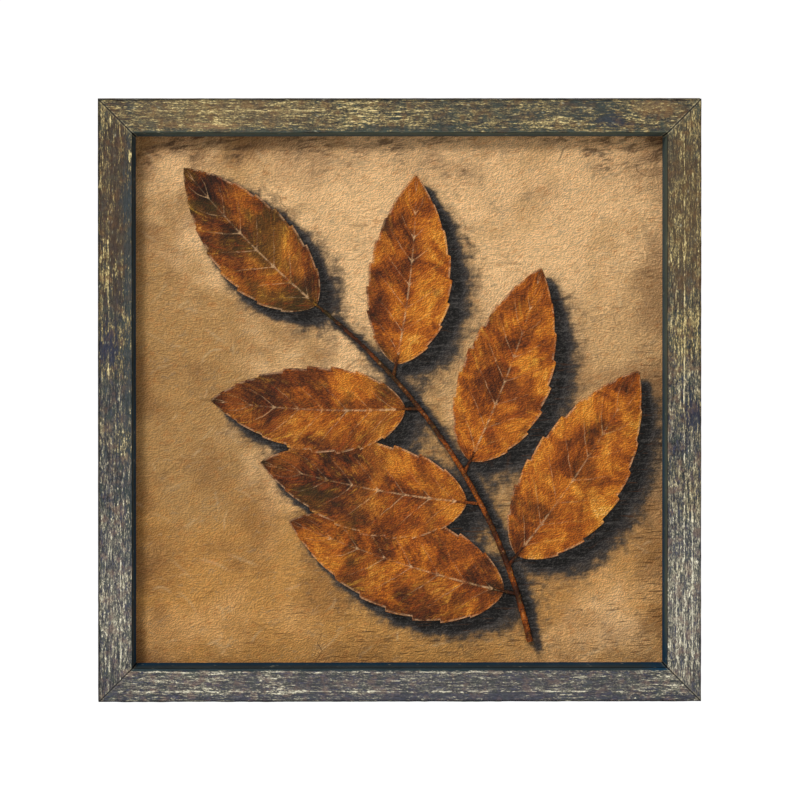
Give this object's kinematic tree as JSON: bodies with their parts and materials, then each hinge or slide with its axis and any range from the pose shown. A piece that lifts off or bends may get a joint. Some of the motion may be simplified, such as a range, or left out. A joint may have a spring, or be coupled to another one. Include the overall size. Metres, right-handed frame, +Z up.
{
  "type": "framed picture",
  "caption": "Square framed picture for a wall: mitred distressed wood moulding, textured canvas with a raised painted sprig of leaves, board back and saw-tooth hanger.",
  "frame": {"origin": "on the wall plane behind the picture, on its middle line, level with the notch of the hanger that carries it", "axes": "+Z up the wall, +X to the right as one looks at the picture, +Y into the wall; the picture faces -Y"},
  "size_m": [0.35, 0.031, 0.35],
  "materials": {
    "distressed_wood": "layered olive, grey and blue-black paint, wire brushed, with straw-coloured streaks worn through along the grain",
    "painted_canvas": "tan and ochre paint on canvas, brushed and scraped, matt",
    "leaf_paint": "thick rust and orange acrylic paint, satin",
    "hardboard": "bare brown hardboard",
    "zinc_steel": "zinc plated",
    "brass_plate": "brass plated steel, slightly dulled",
    "black_rubber": "matt black"
  },
  "bodies": {
    "root": {"rail_top": "distressed_wood", "rail_right": "distressed_wood", "rail_bottom": "distressed_wood", "rail_left": "distressed_wood", "canvas_sheet": "painted_canvas", "painted_sprig": "leaf_paint", "mount_board": "hardboard", "point_top_1": "zinc_steel", "point_top_2": "zinc_steel", "point_right_1": "zinc_steel", "point_right_2": "zinc_steel", "point_bottom_1": "zinc_steel", "point_bottom_2": "zinc_steel", "point_left_1": "zinc_steel", "point_left_2": "zinc_steel", "v_nail_1_1": "zinc_steel", "v_nail_1_2": "zinc_steel", "v_nail_2_1": "zinc_steel", "v_nail_2_2": "zinc_steel", "v_nail_3_1": "zinc_steel", "v_nail_3_2": "zinc_steel", "v_nail_4_1": "zinc_steel", "v_nail_4_2": "zinc_steel", "hanger_plate": "brass_plate", "hanger_nail_left": "brass_plate", "hanger_nail_right": "brass_plate", "bumper_left": "black_rubber", "bumper_right": "black_rubber"}
  },
  "joints": []
}
